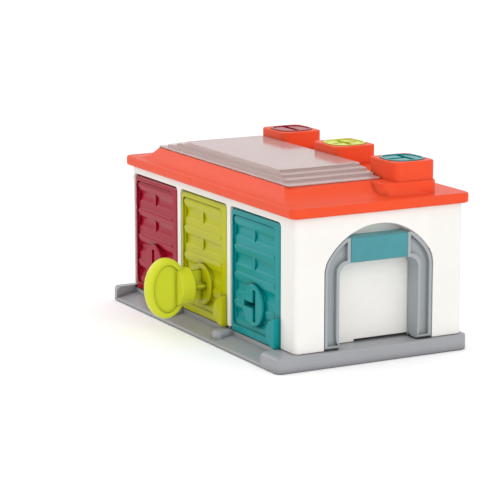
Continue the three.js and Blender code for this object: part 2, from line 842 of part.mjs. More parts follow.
function doorSolid() {
  const half = doorWidth / 2;
  const bottom = doorBottom - hingeZ;
  const top = doorTop - hingeZ;
  const left = leftStile - half;
  const right = half - rightStile;
  const fieldBottom = bottom + bottomRail;
  const rowHeight = (top - topRail - fieldBottom) / rowCount;
  const plankFace = doorFace + plankSink;
  const grooveFloor = plankFace + grooveDepth;
  const field = roundedRect(left, right, fieldBottom, fieldBottom + rowCount * rowHeight, fieldRadius);
  const planks = [];
  const troughs = [];
  for (let row = 0; row < rowCount; row += 1) {
    const foot = fieldBottom + row * rowHeight;
    const side = grooveWidth / 2;
    planks.push(plank(left + side, right - side, foot + side, foot + rowHeight - side, plankFace));
    const inset = side + troughMargin;
    troughs.push(...plankTroughs(left + inset, right - inset, foot + troughFoot, plankFace));
  }
  const panelled = without(doorBlank(half, bottom, top), [frontal(field, doorFace - overrun, grooveFloor)]);
  const bossRadius = lockBarrelRadius + lockRunningGap + lockBossWall;
  const seatDepth = plankFace + lockRecess;
  const boss = barY(lockOffset, lockZ, bossRadius, doorFace - bond, doorBack, roundSteps);
  const seatRadius = lockDiscRadius + lockRunningGap;
  const lockSeat = barY(lockOffset, lockZ, seatRadius, doorFace - overrun, seatDepth, roundSteps);
  const boreRadius = lockBarrelRadius + lockRunningGap;
  const lockBore = barY(lockOffset, lockZ, boreRadius, doorFace - overrun, doorBack + overrun, roundSteps);
  const pinBore = barX(0, 0, hingePinRadius + seatGap, -half - overrun, half + overrun);
  const faced = union([without(union([panelled, ...planks]), troughs), boss, pullTab(half)]);
  return without(faced, [lockSeat, lockBore, pinBore]);
}

// The pull tab at a door's lower right corner: straight on its right side, bowed on its left
function pullTab(half) {
  const bottom = doorBottom - hingeZ + seatGap;
  const right = half - seatGap;
  const waist = tabHeight * tabWaistShare;
  const outline = new THREE.Shape();
  outline.moveTo(right, bottom);
  outline.lineTo(right, bottom + tabHeight);
  outline.absellipse(right, bottom + waist, tabWidth, tabHeight - waist, Math.PI / 2, Math.PI);
  outline.absellipse(right, bottom + waist, tabWidth, waist, Math.PI, 1.5 * Math.PI);
  return frontal(outline, doorFace - tabProud, doorBack - bond, tabEdge, archSteps);
}

// Lock: a flat disc on a barrel that turns in the door, with its keyhole right through
function lockSolid(scheme) {
  const discBack = lockFace + lockDiscThickness;
  const bevel = lockEdge / 3;
  const body = turned([
    [0, lockFace],
    [lockDiscRadius - lockEdge, lockFace],
    [lockDiscRadius - bevel, lockFace + bevel],
    [lockDiscRadius, lockFace + lockEdge],
    [lockDiscRadius, discBack],
    [lockBarrelRadius, discBack],
    [lockBarrelRadius, latchFront - seatGap],
    [0, latchFront - seatGap],
  ]).translate(lockOffset, 0, lockZ);
  const pilots = screwPlaces.map(([x, z]) => {
    const across = lockOffset + x;
    return barY(across, lockZ + z, latchScrewRadius + seatGap, latchBack - latchScrewLength, latchFront + overrun);
  });
  return without(body, [keyhole(scheme, lockZ, lockFace - overrun, latchBack + overrun), ...pilots]);
}

const screwPlaces = [
  [-latchScrewOffset, latchScrewOffset],
  [-latchScrewOffset, -latchScrewOffset],
];

// Latch: a plate on the lock's back whose tongue turns down into the strike slot in the floor
function latchSolid(scheme) {
  const plate = barY(lockOffset, lockZ, lockBarrelRadius, latchFront, latchBack, roundSteps);
  const tongue = frontal(
    roundedRect(
      lockOffset + lockBarrelRadius - latchTongueHalf,
      lockOffset + latchReach,
      lockZ - latchTongueHalf,
      lockZ + latchTongueHalf,
      latchTongueHalf - bond,
    ),
    latchFront,
    latchBack,
  );
  const holes = screwPlaces.map(([x, z]) => (
    barY(lockOffset + x, lockZ + z, latchScrewRadius + seatGap, latchFront - overrun, latchBack + overrun)
  ));
  const cut = keyhole(scheme, lockZ, latchFront - overrun, latchBack + overrun);
  return without(union([plate, tongue]), [cut, ...holes]);
}

function latchScrew([x, z]) {
  const body = screw(latchScrewRadius, latchScrewLength - seatGap, latchScrewHeadRadius, latchScrewHeadHeight);
  return body.translate(lockOffset + x, latchBack + seatGap, lockZ + z);
}

// Key: an oval bow with a dished face on both sides, a round collar and a bladed shaft
function keySolid(scheme) {
  const collarFace = lockFace - keyDrawnOut;
  const collarOuter = collarFace - collarLength;
  const bowEnd = collarOuter + bowOverlap;
  const bowMiddle = bowEnd - bowLength / 2;
  const oval = (shrink) => {
    const outline = new THREE.Shape();
    outline.absellipse(bowMiddle, lockZ, bowLength / 2 - shrink, bowHeight / 2 - shrink, 0, 2 * Math.PI);
    return outline;
  };
  const face = bowThickness / 2;
  const across = (offset) => lockOffset + offset;
  const bow = lengthwise(oval(0), across(-face), across(face), bowRounding, bowSteps);
  const dishes = [
    lengthwise(oval(bowRim), across(face - bowDish), across(face + overrun), 0, bowSteps),
    lengthwise(oval(bowRim), across(-face - overrun), across(bowDish - face), 0, bowSteps),
  ];
  const collar = turned([
    [0, collarOuter],
    [collarRadius - bond, collarOuter],
    [collarRadius, collarOuter + bond],
    [collarRadius, collarFace - bond],
    [collarRadius - bond, collarFace],
    [0, collarFace],
  ]).translate(lockOffset, 0, lockZ);
  const blades = profileOf(scheme).map(([x0, x1, z0, z1]) => (
    block(across(x0), across(x1), collarFace - bond, collarFace + keyShaftLength, lockZ + z0, lockZ + z1)
  ));
  return union([without(bow, dishes), collar, ...blades]);
}

// Handle: a channel bail on two trunnions, with a solid core between its collars for the grip
function handleSide() {
  const side = new THREE.Shape();
  side.moveTo(handleFront, handleTop);
  side.lineTo(handleFront, footBottom + handleToeRadius);
  side.absarc(handleFront - handleToeRadius, footBottom + handleToeRadius, handleToeRadius, 0, -Math.PI / 2, true);
  side.absarc(pivotX, pivotZ, footRadius, 1.5 * Math.PI, Math.PI, true);
  side.lineTo(handleBack, handleTop);
  const reach = handleHalfWidth + overrun;
  return frontal(side, handleCentreY - reach, handleCentreY + reach, 0, archSteps);
}

function handleSolid() {
  const y = handleCentreY;
  const ring = (inset, foot, from) => {
    const outer = archOutline(handleHalfWidth - inset, foot, recessTop - recessSideGap - inset);
    const inner = roundedRect(
      y - handleHalfWidth + handleLegWidth - inset,
      y + handleHalfWidth - handleLegWidth + inset,
      foot - overrun,
      crossbarBottom + inset,
      handleInnerRadius,
    );
    return lengthwise(outer, from, handleFront + overrun, 0, archSteps)
      .subtract(lengthwise(inner, from - overrun, handleFront + 2 * overrun, 0, archSteps));
  };
  const bail = ring(0, footBottom - overrun, handleBack - overrun).intersect(handleSide());
  const band = block(
    handleBack - overrun,
    handleFront + 2 * overrun,
    y - gripHalfLength - collarPlate,
    y + gripHalfLength + collarPlate,
    crossbarBottom - handleInnerRadius,
    recessTop,
  );
  const crown = block(
    handleBack - overrun,
    handleFront + 2 * overrun,
    y - handleHalfWidth,
    y + handleHalfWidth,
    handleTop - handleFlange,
    recessTop,
  );
  const channel = ring(handleFlange, footBottom + handleFlange, handleFront - handleChannelDepth);
  const gripSpace = block(
    handleBack - overrun,
    handleFront + overrun,
    y - gripHalfLength,
    y + gripHalfLength,
    crossbarBottom - overrun,
    handleTop + overrun,
  );
  const middleZ = (crossbarBottom + handleTop) / 2;
  const core = block(
    pivotX - coreDepth / 2,
    pivotX + coreDepth / 2,
    y - gripHalfLength - bond,
    y + gripHalfLength + bond,
    middleZ - coreHeight / 2,
    middleZ + coreHeight / 2,
  );
  const trunnions = [-1, 1].map((side) => {
    const ends = [handleHalfWidth - bond, handleHalfWidth + trunnionLength].map((d) => y + side * d);
    ends.sort((a, b) => a - b);
    return barY(pivotX, pivotZ, trunnionRadius, ends[0], ends[1], roundSteps / 2);
  });
  return union([without(bail, [without(channel, [band, crown]), gripSpace]), core, ...trunnions]);
}

function gripSolid() {
  const y = handleCentreY;
  const middleZ = (crossbarBottom + handleTop) / 2;
  const outline = roundedRect(handleBack, wallRight, crossbarBottom, handleTop, gripRounding);
  const sleeve = frontal(outline, y - gripHalfLength + seatGap, y + gripHalfLength - seatGap);
  const bore = block(
    pivotX - coreDepth / 2 - seatGap,
    pivotX + coreDepth / 2 + seatGap,
    y - gripHalfLength - overrun,
    y + gripHalfLength + overrun,
    middleZ - coreHeight / 2 - seatGap,
    middleZ + coreHeight / 2 + seatGap,
  );
  return without(sleeve, [bore]);
}

const garage = new THREE.Group();
garage.add(piece('base_tray', baseTray(), plastic(colours.base, 0.45)));
garage.add(piece('wall_housing', wallHousing(), plastic(colours.white, 0.4)));
pillarX.forEach((x, i) => {
  garage.add(piece(`partition_${['left', 'right'][i]}`, partition(x), plastic(colours.white, 0.4)));
});
garage.add(piece('roof', roof(), plastic(colours.orange, 0.4)));
garage.add(piece('skylight', skylight(), plastic(colours.skylight, 0.15)));
garage.add(piece('carry_handle', handleSolid(), plastic(colours.handle, 0.4)));
garage.add(piece('handle_grip', gripSolid(), plastic(colours.grip, 0.6)));

schemes.forEach((scheme, i) => {
  const finish = () => plastic(colours[scheme], 0.35);
  garage.add(piece(`key_tower_${scheme}`, keyTower(towerX[i]), plastic(colours.orange, 0.4)));
  garage.add(piece(`key_holder_${scheme}`, keyHolder(scheme, towerX[i]), finish()));

  const bay = new THREE.Group();
  bay.position.set(bayX[i], hingeY, hingeZ);
  bay.add(piece(`door_${scheme}`, doorSolid(), finish()));
  bay.add(piece(`lock_${scheme}`, lockSolid(scheme), finish()));
  bay.add(piece(`latch_${scheme}`, latchSolid(scheme), finish()));
  screwPlaces.forEach((place, k) => {
    bay.add(piece(`latch_screw_${scheme}_${k + 1}`, latchScrew(place), steel()));
  });
  const pinHalf = doorWidth / 2 + hingePinGrip;
  bay.add(piece(`hinge_pin_${scheme}`, barX(0, 0, hingePinRadius, -pinHalf, pinHalf), steel()));
  if (scheme === 'lime') bay.add(piece('key_lime', keySolid(scheme), finish()));
  garage.add(bay);
});

posts.forEach(([x, y], i) => {
  const body = screw(screwRadius, screwLength - screwRecess, screwHeadRadius, screwHeadHeight);
  const mesh = piece(`base_screw_${i + 1}`, body, steel());
  mesh.rotation.x = -Math.PI / 2;
  mesh.position.set(x, y, screwRecess - seatGap);
  garage.add(mesh);
});

export default garage;
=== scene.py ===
"""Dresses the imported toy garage: rounded skins over its mouldings, their plastics, and a plain studio."""

import json
import math

import bmesh
import bpy
from mathutils import Color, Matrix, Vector


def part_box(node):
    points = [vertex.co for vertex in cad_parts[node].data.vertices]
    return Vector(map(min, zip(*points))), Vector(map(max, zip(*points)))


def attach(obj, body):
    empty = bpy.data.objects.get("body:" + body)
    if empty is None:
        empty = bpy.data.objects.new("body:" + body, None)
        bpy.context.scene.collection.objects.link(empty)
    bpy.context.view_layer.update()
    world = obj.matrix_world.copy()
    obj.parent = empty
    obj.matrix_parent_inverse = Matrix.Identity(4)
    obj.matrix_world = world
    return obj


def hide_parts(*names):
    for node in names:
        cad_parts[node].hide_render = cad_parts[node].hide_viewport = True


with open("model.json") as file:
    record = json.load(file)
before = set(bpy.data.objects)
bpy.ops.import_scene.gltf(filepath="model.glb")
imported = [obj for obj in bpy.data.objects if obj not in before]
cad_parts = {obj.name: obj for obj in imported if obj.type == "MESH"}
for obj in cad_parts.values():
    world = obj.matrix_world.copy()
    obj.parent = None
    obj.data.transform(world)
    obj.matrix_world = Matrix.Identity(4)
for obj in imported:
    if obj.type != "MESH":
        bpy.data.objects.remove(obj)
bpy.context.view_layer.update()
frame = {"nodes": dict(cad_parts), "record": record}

bl_info = {
    "name": "Toy garage",
    "version": (1, 0, 0),
    "blender": (4, 5, 0),
    "location": "3D View > Sidebar > Garage",
    "description": "Skins, plastics and studio for a toy garage with keyed doors",
    "category": "Object",
}

SCHEMES = ("red", "lime", "teal")

# Skins: points closer than the weld are one, faces within the flat angle are one, and edges
# sharper than the soft angle stay crisp
WELD = 0.00001
FLAT_ANGLE = math.radians(0.6)
SOFT_ANGLE = math.radians(36)
FLAT_FACE_WEIGHT = 90

# Towers: the seam under them, the depth and inset of their skirts, and their rounded lower edge
TOWER_SEAM = 0.0003
SKIRT_DEPTH = 0.004
SKIRT_INSET = 0.0022
TOWER_EDGE = 0.0009

# Shading: the useful middle of a noise, how far a rounded edge turns away from its face where the
# painted edge highlight is drawn, and how open a groove is where its painted shade is deepest and where it
# ends
NOISE_LOW = 0.3
NOISE_HIGH = 0.7
EDGE_TURNED = 0.8
EDGE_LEVEL = 0.99
GROOVE_SHADE_DEEP = 0.35
GROOVE_SHADE_OPEN = 0.95
EDGE_SAMPLES = 6
GROOVE_SHADE_SAMPLES = 8

# Plastics: the share of a moulding's roughness where it is rubbed smooth and where it is scuffed
RUBBED_SHARE = 0.92
SCUFFED_SHARE = 1.1

# Studio: the whites, the floor's own glow, and in metres the width of its mottle, its half width,
# its drop under the object and how far the camera sees. The sensor is in millimetres.
WHITE = (1.0, 1.0, 1.0, 1.0)
FLOOR_SHADE = (0.94, 0.94, 0.945, 1.0)
FLOOR_GLOW = 0.2
FLOOR_MOTTLE = 0.4
FLOOR_HALF = 12.0
FLOOR_DROP = 0.0001
VIEW_DEPTH = 30.0
SENSOR_WIDTH = 36.0


# Properties

def colour_property(name, description, default):
    """A colour as it looks on screen, given as three values up to 255."""
    return bpy.props.FloatVectorProperty(
        name=name,
        description=description,
        subtype="COLOR_GAMMA",
        size=3,
        min=0.0,
        max=1.0,
        default=[channel / 255 for channel in default],
    )


def length_property(name, description, default):
    """A length in metres."""
    return bpy.props.FloatProperty(
        name=name,
        description=description,
        default=default,
        min=0.0,
        precision=5,
        unit="LENGTH",
        subtype="DISTANCE",
    )


def place_property(name, description, default):
    """A place in metres."""
    return bpy.props.FloatVectorProperty(
        name=name,
        description=description,
        default=default,
        subtype="TRANSLATION",
        unit="LENGTH",
    )


def factor_property(name, description, default, top=1.0):
    """A plain share or strength."""
    return bpy.props.FloatProperty(
        name=name,
        description=description,
        default=default,
        min=0.0,
        max=top,
        subtype="FACTOR",
    )


def power_property(name, description, default):
    """A lamp's power in watts."""
    return bpy.props.FloatProperty(
        name=name,
        description=description,
        default=default,
        min=0.0,
        subtype="POWER",
    )


class GarageColours(bpy.types.PropertyGroup):
    """The colours of the garage's mouldings."""

    roof: colour_property("Roof", "The roof moulding and the towers", (240, 82, 44))
    walls: colour_property("Walls", "The wall housing and partitions", (245, 243, 238))
    base: colour_property("Base", "The base tray", (163, 164, 168))
    handle: colour_property("Handle", "The bail handle", (168, 174, 176))
    grip: colour_property("Grip", "The handle's soft grip", (66, 146, 154))
    skylight: colour_property("Skylight", "The clear skylight", (230, 200, 195))
    red: colour_property("Red", "The first door, its lock and its holder", (164, 4, 38))
    lime: colour_property("Lime", "The second door and its lock", (191, 191, 15))
    key: colour_property("Key", "The lime key and its holder", (220, 226, 56))
    teal: colour_property("Teal", "The third door, its lock and its holder", (0, 147, 149))
    steel: colour_property("Steel", "Pins and screws", (190, 192, 195))


class GarageSurfaces(bpy.types.PropertyGroup):
    """How the mouldings' surfaces are finished."""

    edge_radius: length_property("Edge radius", "Rounding of the mouldings' sharp edges", 0.00035)
    grain_size: length_property("Grain size", "Width of the mould's fine grain", 0.0006)
    grain_depth: length_property("Grain depth", "Height of the mould's fine grain", 0.000003)
    flow_size: length_property("Flow size", "Width of the faint flow marks in the plastic", 0.028)
    # Painted shade: how far the darkening painted into grooves and corners reaches, where shade falls
    groove_shade_reach: length_property("Cavity reach", "Width of the grooves that look deeper in tone", 0.004)
    scuff_size: length_property("Scuff size", "Width of the smoother and rougher patches", 0.0046667)
    frost_size: length_property("Frost size", "Width of the skylight's frosted patches", 0.0035)
    ripple_depth: length_property("Ripple depth", "Height of the skylight's slow ripple", 0.000024)
    clear_radius: length_property("Clear edge radius", "Rounding of the skylight's edges", 0.000525)
    rubber_flow: length_property("Rubber flow size", "Width of the flow marks in the grip", 0.0093333)
    stipple_size: length_property("Stipple size", "Width of the grip's stipple", 0.0012)
    stipple_depth: length_property("Stipple depth", "Height of the grip's stipple", 0.000006)
    line_depth: length_property("Line depth", "Height of the turned lines on steel", 0.00001)
    door_roughness: factor_property("Door roughness", "Roughness of doors, locks and key", 0.224)
    wall_roughness: factor_property("Wall roughness", "Roughness of the walls", 0.336)
    roof_roughness: factor_property("Roof roughness", "Roughness of the roof and towers", 0.364)
    base_roughness: factor_property("Base roughness", "Roughness of the base tray", 0.336)
    handle_roughness: factor_property("Handle roughness", "Roughness of the bail handle", 0.42)
    grip_roughness: factor_property("Grip roughness", "Roughness of the soft grip", 0.62)


class GarageStudio(bpy.types.PropertyGroup):
    """The camera and the studio's light."""

    eye: place_property("Eye", "Where the camera stands", (1.3474, -0.7575, 0.3702))
    target: place_property("Target", "Where the camera looks", (-0.05943, 0.0, 0.04218))
    lens: bpy.props.FloatProperty(
        name="Lens",
        description="Focal length of the camera",
        subtype="DISTANCE_CAMERA",
        default=159.15,
        min=1.0,
    )
    ambient: factor_property("Ambient", "Level of the light from all round", 0.915, 2.0)
    middle: place_property("Middle", "Where both lamps look", (0.0, 0.0, 0.06))
    key_place: place_property("Key lamp's place", "Beside the right end wall", (1.6, -0.3, 0.8))
    key_size: length_property("Key lamp's size", "Side of the square key lamp", 1.2)
    key_power: power_property("Key lamp", "Power of the large lamp beside the end wall", 5.6)
    fill_place: place_property("Fill lamp's place", "Beyond the left end", (-1.3, -0.6, 0.75))
    fill_size: length_property("Fill lamp's size", "Side of the square fill lamp", 0.8)
    fill_power: power_property("Fill lamp", "Power of the lamp that glances along the doors", 2.2)


def linear(colour):
    """A screen colour as the renderer's linear values, with full alpha."""
    return (*Color(colour).from_srgb_to_scene_linear(), 1.0)


# Materials

class Surface:
    """A new material with helpers that add and join its nodes."""

    def __init__(self, name):
        self.material = bpy.data.materials.new(name)
        self.material.use_nodes = True
        self.tree = self.material.node_tree
        self.shader = self.tree.nodes["Principled BSDF"]
        self.place = self.add("ShaderNodeTexCoord").outputs["Object"]

    def add(self, kind, settings=None, **inputs):
        """Adds a node with its settings, and sets or links its inputs by name."""
        node = self.tree.nodes.new(kind)
        for key, value in (settings or {}).items():
            setattr(node, key, value)
        for key, value in inputs.items():
            self.put(node.inputs[key.replace("_", " ")], value)
        return node

    def put(self, socket, value):
        """Links an output to a socket, or writes a constant on it."""
        if isinstance(value, bpy.types.NodeSocket):
            self.tree.links.new(value, socket)
        else:
            socket.default_value = value

    def noise(self, size, detail=2.0):
        """A noise whose grains are about that wide, in metres."""
        return self.add(
            "ShaderNodeTexNoise",
            Vector=self.place,
            Scale=1 / size,
            Detail=detail,
        ).outputs["Fac"]

    def ramp(self, value, start, end, low, high=1.0):
        """Maps a value's range from start to end onto the range from low to high."""
        return self.add(
            "ShaderNodeMapRange",
            Value=value,
            From_Min=start,
            From_Max=end,
            To_Min=low,
            To_Max=high,
        ).outputs["Result"]

    def spread(self, noise, low, high):
        """Maps the middle of a noise onto a range."""
        return self.ramp(noise, NOISE_LOW, NOISE_HIGH, low, high)

    def tint(self, colour, value):
        """A colour whose value follows a factor."""
        return self.add("ShaderNodeHueSaturation", Color=colour, Value=value).outputs["Color"]

    def bump(self, height, depth, **inputs):
        """A normal that follows a height up to a depth in metres."""
        return self.add("ShaderNodeBump", Height=height, Distance=depth, **inputs).outputs["Normal"]

    def rounded(self, radius):
        """A normal that rounds the sharp edges off by a radius."""
        settings = {"samples": EDGE_SAMPLES}
        return self.add("ShaderNodeBevel", settings, Radius=radius).outputs["Normal"]

    def painted_edge_highlight(self, colour, rounded, level):
        """Painted edge highlight: a colour that changes to a level where the rounded normal leaves the true
        one.
        """
        facing = self.add("ShaderNodeNewGeometry").outputs["Normal"]
        along = self.add("ShaderNodeVectorMath", {"operation": "DOT_PRODUCT"})
        self.put(along.inputs[0], rounded)
        self.put(along.inputs[1], facing)
        return self.tint(colour, self.ramp(along.outputs["Value"], EDGE_TURNED, EDGE_LEVEL, level))

    def painted_groove_shade(self, colour, reach, level):
        """Painted shade: a colour that falls to a level in grooves and corners narrower than the reach, where
        shade falls.
        """
        settings = {"samples": GROOVE_SHADE_SAMPLES}
        openness = self.add("ShaderNodeAmbientOcclusion", settings, Distance=reach).outputs["AO"]
        return self.tint(colour, self.ramp(openness, GROOVE_SHADE_DEEP, GROOVE_SHADE_OPEN, level))

    def finish(self, **sockets):
        """Sets the shader's own sockets."""
        for key, value in sockets.items():
            self.put(self.shader.inputs[key.replace("_", " ")], value)
        return self.material


def moulded_plastic(name, colour, roughness, grain=1.0, edge_highlight=1.05, groove_shade=1.0, reach=1.0, shine=0.25):
    """An injection-moulded plastic with fine grain, faint flow marks and softened edges.

    Its edges get a painted highlight, lighter by the edge highlight's factor, and its grooves painted
    shade, down to the groove shade's level. Grain and reach are shares of the grain's depth and the
    painted shade's reach in the surface settings.
    """
    sizes = bpy.context.scene.garage_surfaces
    surface = Surface(name)
    flow = surface.spread(surface.noise(sizes.flow_size, detail=3.0), low=0.975, high=1.02)
    shade = surface.tint(linear(colour), flow)
    rounded = surface.rounded(sizes.edge_radius)
    # Painted highlight along the edges
    shade = surface.painted_edge_highlight(shade, rounded, edge_highlight)
    # Painted shade in grooves and corners
    if groove_shade < 1.0:
        shade = surface.painted_groove_shade(shade, sizes.groove_shade_reach * reach, groove_shade)
    scuffs = surface.noise(sizes.scuff_size, detail=4.0)
    return surface.finish(
        Base_Color=shade,
        Roughness=surface.spread(scuffs, low=roughness * RUBBED_SHARE, high=roughness * SCUFFED_SHARE),
        Normal=surface.bump(surface.noise(sizes.grain_size), sizes.grain_depth * grain, Normal=rounded),
        Specular_IOR_Level=shine,
    )


def soft_rubber(name, colour, roughness):
    """A soft matt elastomer with a fine stipple and a faint sheen."""
    sizes = bpy.context.scene.garage_surfaces
    surface = Surface(name)
    flow = surface.spread(surface.noise(sizes.rubber_flow), low=0.95, high=1.04)
    stipple = surface.add("ShaderNodeTexVoronoi", Vector=surface.place, Scale=1 / sizes.stipple_size)
    return surface.finish(
        Base_Color=surface.tint(linear(colour), flow),
        Roughness=roughness,
        Normal=surface.bump(stipple.outputs["Distance"], sizes.stipple_depth, Strength=0.6),
        Sheen_Weight=0.15,
    )


def frosted_clear(name, colour):
    """A clear moulding, faintly tinted, with a light frost, a slow ripple and a painted highlight on its
    edges.
    """
    sizes = bpy.context.scene.garage_surfaces
    surface = Surface(name)
    flow = surface.spread(surface.noise(sizes.flow_size), low=0.97, high=1.02)
    shade = surface.tint(linear(colour), flow)
    rounded = surface.rounded(sizes.clear_radius)
    frost = surface.noise(sizes.frost_size, detail=3.0)
    ripple = surface.noise(sizes.flow_size, detail=1.0)
    return surface.finish(
        # Painted highlight: the step edges are drawn much lighter, as if catching the light
        Base_Color=surface.painted_edge_highlight(shade, rounded, level=1.6),
        Roughness=surface.spread(frost, low=0.1, high=0.16),
        Normal=surface.bump(ripple, sizes.ripple_depth, Normal=rounded),
        Transmission_Weight=0.45,
        IOR=1.45,
        Specular_IOR_Level=0.2,
    )


def bright_steel(name, colour):
    """Zinc-bright steel with fine turned lines."""
    sizes = bpy.context.scene.garage_surfaces
    surface = Surface(name)
    lines = surface.add("ShaderNodeTexWave", Vector=surface.place, Scale=900.0, Distortion=2.0).outputs["Fac"]
    return surface.finish(
        Base_Color=linear(colour),
        Metallic=1.0,
        Roughness=surface.spread(lines, low=0.24, high=0.4),
        Normal=surface.bump(lines, sizes.line_depth, Strength=0.3),
    )


# Skins over the mouldings

def body_of(node):
    """The body that a moulding moves with."""
    bodies = frame["record"]["behaviour"]["bodies"]
    return next(body for body, nodes in bodies.items() if node in nodes)


def run_down(node, shape):
    """Runs a tower's sides straight down onto the roof, where its moulding has a rounded lower edge."""
    low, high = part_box(node)
    foot = low[2] + SKIRT_DEPTH
    skirt = [(high[i] - low[i]) / 2 - SKIRT_INSET for i in (0, 1)]
    centre = [(high[i] + low[i]) / 2 for i in (0, 1)]
    sides = [v for v in shape.verts if any(abs(v.co[i] - centre[i]) > skirt[i] for i in (0, 1))]
    # Where the sides are at their full width, just above the rounding
    full = [v for v in sides if abs(v.co.z - foot - TOWER_EDGE) < WELD]
    for vert in sides:
        if vert.co.z < foot + TOWER_EDGE - WELD:
            nearest = min(full, key=lambda other: (other.co.xy - vert.co.xy).length)
            vert.co = (nearest.co.x, nearest.co.y, foot - TOWER_SEAM - WELD)
    # The ledge round the skirt, which the roof hides
    under = [
        face for face in shape.faces
        if all(v.co.z < foot + WELD for v in face.verts) and any(v in sides for v in face.verts)
    ]
    bmesh.ops.delete(shape, geom=under, context="FACES")


def skin(node, material, reshape=None):
    """A welded, smooth-shaded copy of a moulding that shows in its place."""
    shape = bmesh.new()
    shape.from_mesh(frame["nodes"][node].data)
    if reshape:
        reshape(node, shape)
    bmesh.ops.remove_doubles(shape, verts=shape.verts, dist=WELD)
    bmesh.ops.dissolve_limit(
        shape,
        angle_limit=FLAT_ANGLE,
        verts=shape.verts,
        edges=shape.edges,
    )
    for face in shape.faces:
        face.smooth = True
    mesh = bpy.data.meshes.new(f"{node}_skin")
    shape.to_mesh(mesh)
    shape.free()
    mesh.set_sharp_from_angle(angle=SOFT_ANGLE)
    mesh.materials.clear()
    mesh.materials.append(material)
    piece = bpy.data.objects.new(mesh.name, mesh)
    bpy.context.scene.collection.objects.link(piece)
    flats = piece.modifiers.new("flats", "WEIGHTED_NORMAL")
    flats.keep_sharp = True
    flats.weight = FLAT_FACE_WEIGHT
    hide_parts(node)
    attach(piece, body_of(node))


class GaragePiece:
    """What the operators share: each one dresses a piece or a group of like pieces."""

    bl_options = {"REGISTER", "UNDO"}

    @staticmethod
    def settings(context):
        """The scene's colours and surfaces."""
        return context.scene.garage_colours, context.scene.garage_surfaces


class GARAGE_OT_base(GaragePiece, bpy.types.Operator):
    """Dresses the base tray in satin grey"""

    bl_idname = "garage.base"
    bl_label = "Base tray"

    def execute(self, context):
        """Skins the tray."""
        colours, surfaces = self.settings(context)
        # Painted light: a faint painted highlight along the edges, and painted shade in the grooves and
        # beside the doors and walls
        grey = moulded_plastic(
            "base_plastic",
            colours.base,
            surfaces.base_roughness,
            grain=1.6,
            groove_shade=0.4,
            reach=1.5,
            shine=0.4,
        )
        skin("base_tray", grey)
        return {"FINISHED"}


class GARAGE_OT_walls(GaragePiece, bpy.types.Operator):
    """Dresses the wall housing and the partitions in white"""

    bl_idname = "garage.walls"
    bl_label = "Walls"

    def execute(self, context):
        """Skins the housing and both partitions."""
        colours, surfaces = self.settings(context)
        # A faint painted highlight along the edges
        white = moulded_plastic("wall_plastic", colours.walls, surfaces.wall_roughness)
        for node in ("wall_housing", "partition_left", "partition_right"):
            skin(node, white)
        return {"FINISHED"}


class GARAGE_OT_roof(GaragePiece, bpy.types.Operator):
    """Dresses the roof and its towers in orange"""

    bl_idname = "garage.roof"
    bl_label = "Roof"

    def execute(self, context):
        """Skins the roof and the three towers."""
        colours, surfaces = self.settings(context)
        # Painted light: a faint painted highlight along the edges, and painted shade in grooves and corners
        orange = moulded_plastic(
            "roof_plastic",
            colours.roof,
            surfaces.roof_roughness,
            groove_shade=0.75,
            shine=0.17,
        )
        skin("roof", orange)
        for scheme in SCHEMES:
            skin(f"key_tower_{scheme}", orange, run_down)
        return {"FINISHED"}


class GARAGE_OT_skylight(GaragePiece, bpy.types.Operator):
    """Dresses the skylight as a frosted clear moulding"""

    bl_idname = "garage.skylight"
    bl_label = "Skylight"

    def execute(self, context):
        """Skins the skylight."""
        colours, _ = self.settings(context)
        skin("skylight", frosted_clear("skylight_plastic", colours.skylight))
        return {"FINISHED"}


class GARAGE_OT_doors(GaragePiece, bpy.types.Operator):
    """Dresses the lime key, and each bay's door, lock, latch and key holder"""

    bl_idname = "garage.doors"
    bl_label = "Doors, locks and key"

    def execute(self, context):
        """Skins the key, then the coloured pieces of each bay."""
        colours, surfaces = self.settings(context)
        # Painted light: a strong painted highlight along the edges and painted shade in the grooves between
        # the planks, with the plastic's own shine
        finish = {"edge_highlight": 1.4, "groove_shade": 0.45, "shine": 0.15}
        bright = moulded_plastic("key_plastic", colours.key, surfaces.door_roughness, **finish)
        skin("key_lime", bright)
        for scheme in SCHEMES:
            colour = getattr(colours, scheme)
            plastic = moulded_plastic(f"{scheme}_plastic", colour, surfaces.door_roughness, **finish)
            for kind in ("door", "lock", "latch"):
                skin(f"{kind}_{scheme}", plastic)
            skin(f"key_holder_{scheme}", bright if scheme == "lime" else plastic)
        return {"FINISHED"}


class GARAGE_OT_handle(GaragePiece, bpy.types.Operator):
    """Dresses the bail handle and its soft grip"""

    bl_idname = "garage.handle"
    bl_label = "Handle and grip"

    def execute(self, context):
        """Skins the handle and the grip."""
        colours, surfaces = self.settings(context)
        # Painted light: a painted highlight along the edges and painted shade in the channel and round the
        # grip
        grey = moulded_plastic(
            "handle_plastic",
            colours.handle,
            surfaces.handle_roughness,
            edge_highlight=1.12,
            groove_shade=0.62,
        )
        skin("carry_handle", grey)
        skin("handle_grip", soft_rubber("grip_rubber", colours.grip, surfaces.grip_roughness))
        return {"FINISHED"}


class GARAGE_OT_fasteners(GaragePiece, bpy.types.Operator):
    """Dresses the hinge pins and the screws in bright steel"""

    bl_idname = "garage.fasteners"
    bl_label = "Pins and screws"

    def execute(self, context):
        """Skins every pin and screw."""
        colours, _ = self.settings(context)
        steel = bright_steel("steel", colours.steel)
        for node in frame["nodes"]:
            if "screw" in node or "pin" in node:
                skin(node, steel)
        return {"FINISHED"}


# Studio

def aim(holder, place, target):
    """Puts a lamp or camera at a place and turns it to look at a point."""
    holder.location = place
    holder.rotation_euler = (Vector(target) - Vector(place)).to_track_quat("-Z", "Y").to_euler()
    bpy.context.scene.collection.objects.link(holder)


